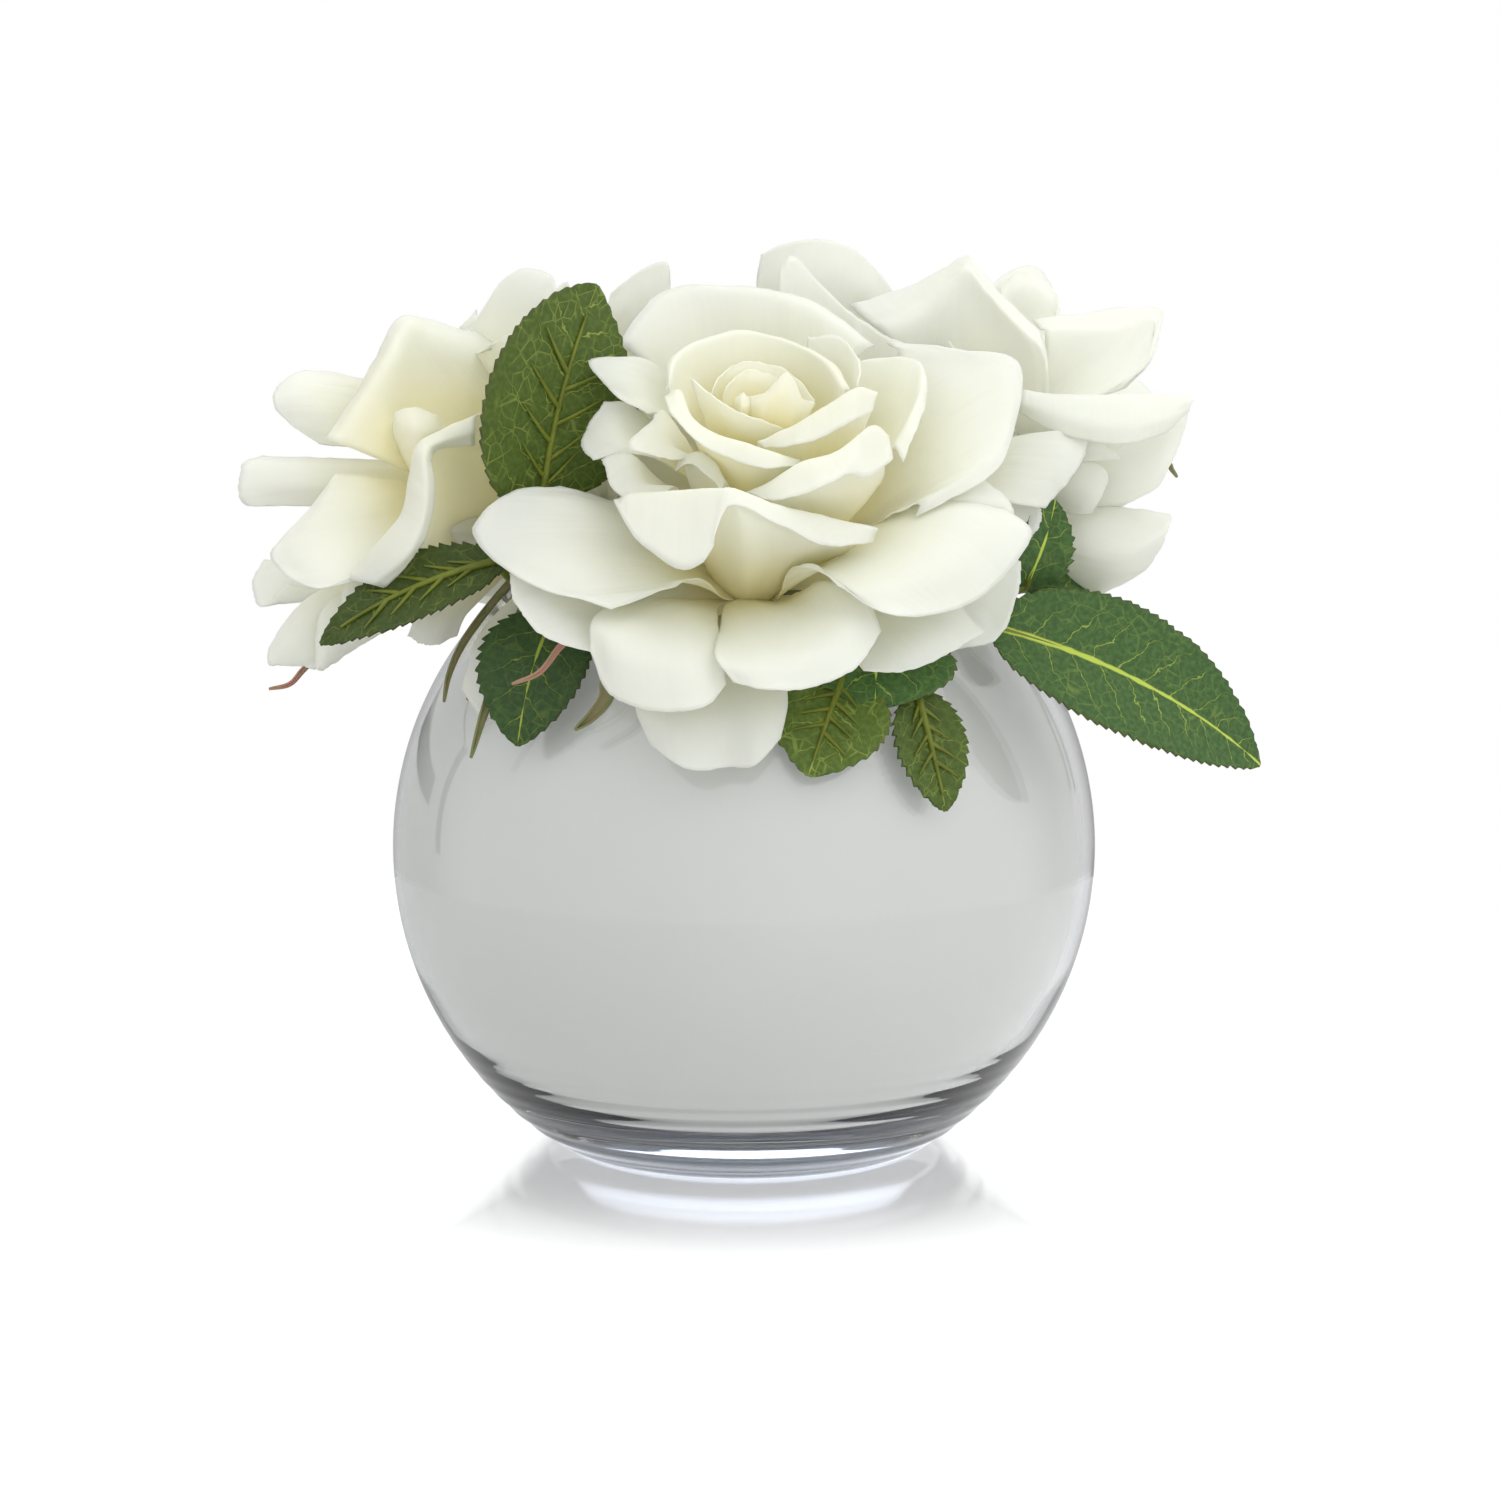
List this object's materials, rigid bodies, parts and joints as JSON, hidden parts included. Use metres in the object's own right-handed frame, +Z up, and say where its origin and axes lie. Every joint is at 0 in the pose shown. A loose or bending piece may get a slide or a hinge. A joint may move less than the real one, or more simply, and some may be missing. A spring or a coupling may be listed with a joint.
{
  "type": "vase of roses",
  "caption": "Round clear glass bubble bowl, frosted silver inside, filled with full-blown white artificial roses and toothed green leaves on short stems.",
  "frame": {"origin": "centre of the bowl's flat foot, on the surface that it stands on", "axes": "+Z up through the bowl's axis, -Y towards the viewer of the picture, +X to that viewer's right"},
  "size_m": [0.216, 0.1801, 0.1921],
  "materials": {
    "silvered_glass": "thick clear blown glass, glossy outside, with a thin satin silver-grey coat on the inner wall",
    "petal": "coated polyester petals, matt white going to cream yellow in the folds",
    "foliage": "printed polyester leaves, satin green with raised moulded ribs",
    "stem": "green plastic over wire, sepals tinged reddish",
    "foam": "matt open-cell holding foam"
  },
  "bodies": {
    "root": {"glass_bowl": "silvered_glass", "foam_block": "foam", "front_rose": "petal", "left_rose": "petal", "right_rose": "petal", "back_right_rose": "petal", "back_left_rose": "petal", "front_stem": "stem", "left_stem": "stem", "right_stem": "stem", "back_right_stem": "stem", "back_left_stem": "stem", "leaf_upper_left": "foliage", "leaves_left": "foliage", "leaves_front": "foliage", "leaves_right": "foliage", "leaves_back": "foliage"}
  },
  "joints": []
}
